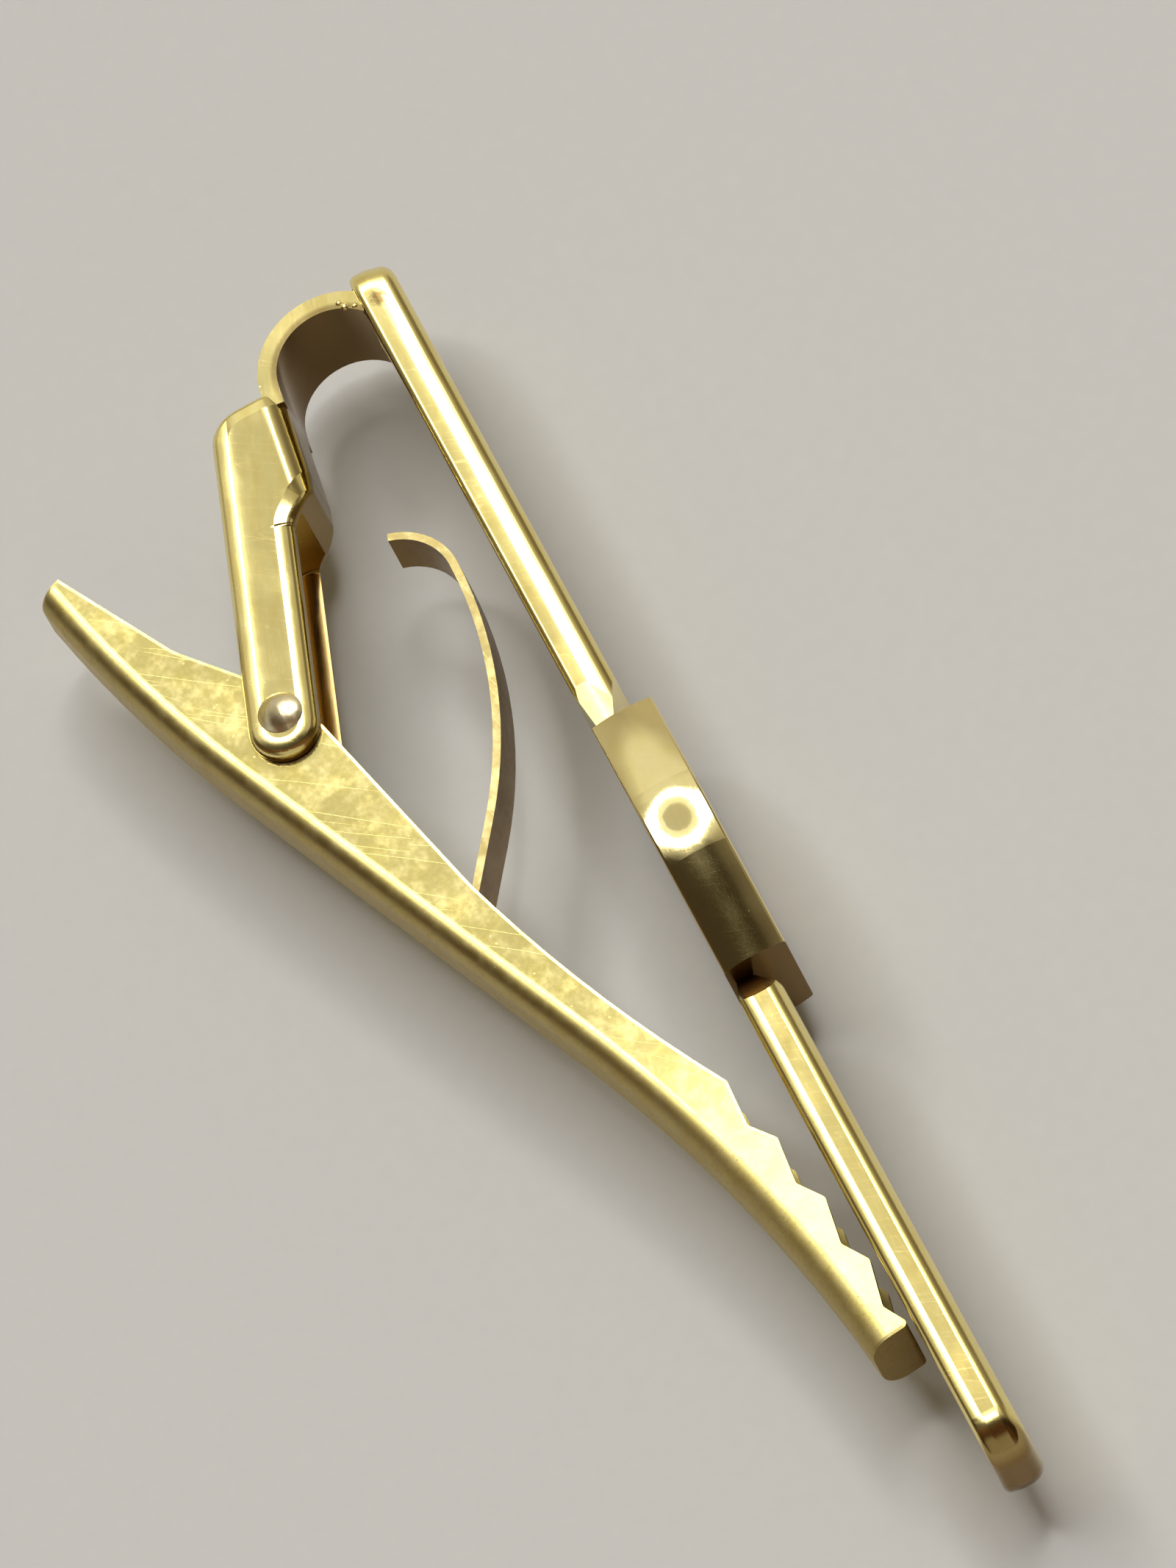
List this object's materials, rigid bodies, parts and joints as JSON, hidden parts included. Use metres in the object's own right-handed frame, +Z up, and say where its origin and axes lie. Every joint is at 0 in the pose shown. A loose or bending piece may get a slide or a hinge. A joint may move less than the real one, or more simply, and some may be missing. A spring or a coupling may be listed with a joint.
{
  "type": "tie clip",
  "caption": "Polished gold tie clip: slim front bar with a raised centre, a folded hinge bracket behind one end, and a sprung jaw with a toothed mouth and thumb tail.",
  "frame": {"origin": "middle of the bottom of the shut clip's box, lying on its side as in the picture", "axes": "+X along the bar from the hinge end to the tip, +Y out of the bar's front, +Z up along the pivot"},
  "size_m": [0.0624, 0.0198, 0.0082],
  "materials": {
    "polished_gold": "mirror polished, gold plated",
    "satin_gold": "polished sheet with fine pits and scratches, gold plated",
    "spring_gold": "rolled strip with a dull grain, gold plated"
  },
  "bodies": {
    "bar": {"hinge_arm": "polished_gold", "tip_arm": "polished_gold", "centre_saddle": "polished_gold", "hinge_bracket": "polished_gold", "pivot_rivet": "polished_gold"},
    "jaw": {"gripper_jaw": "satin_gold", "leaf_spring": "spring_gold", "spring_rivet": "spring_gold"}
  },
  "joints": [
    {"name": "jaw_pivot", "type": "hinge", "parent": "bar", "child": "jaw", "pos_m": [-0.01375, -0.00334, 0.0041], "axis": [0, 0, -1], "range_deg": [0, 25], "stiffness_Nm_per_rad": 0.01, "springref_deg": -20.05}
  ]
}
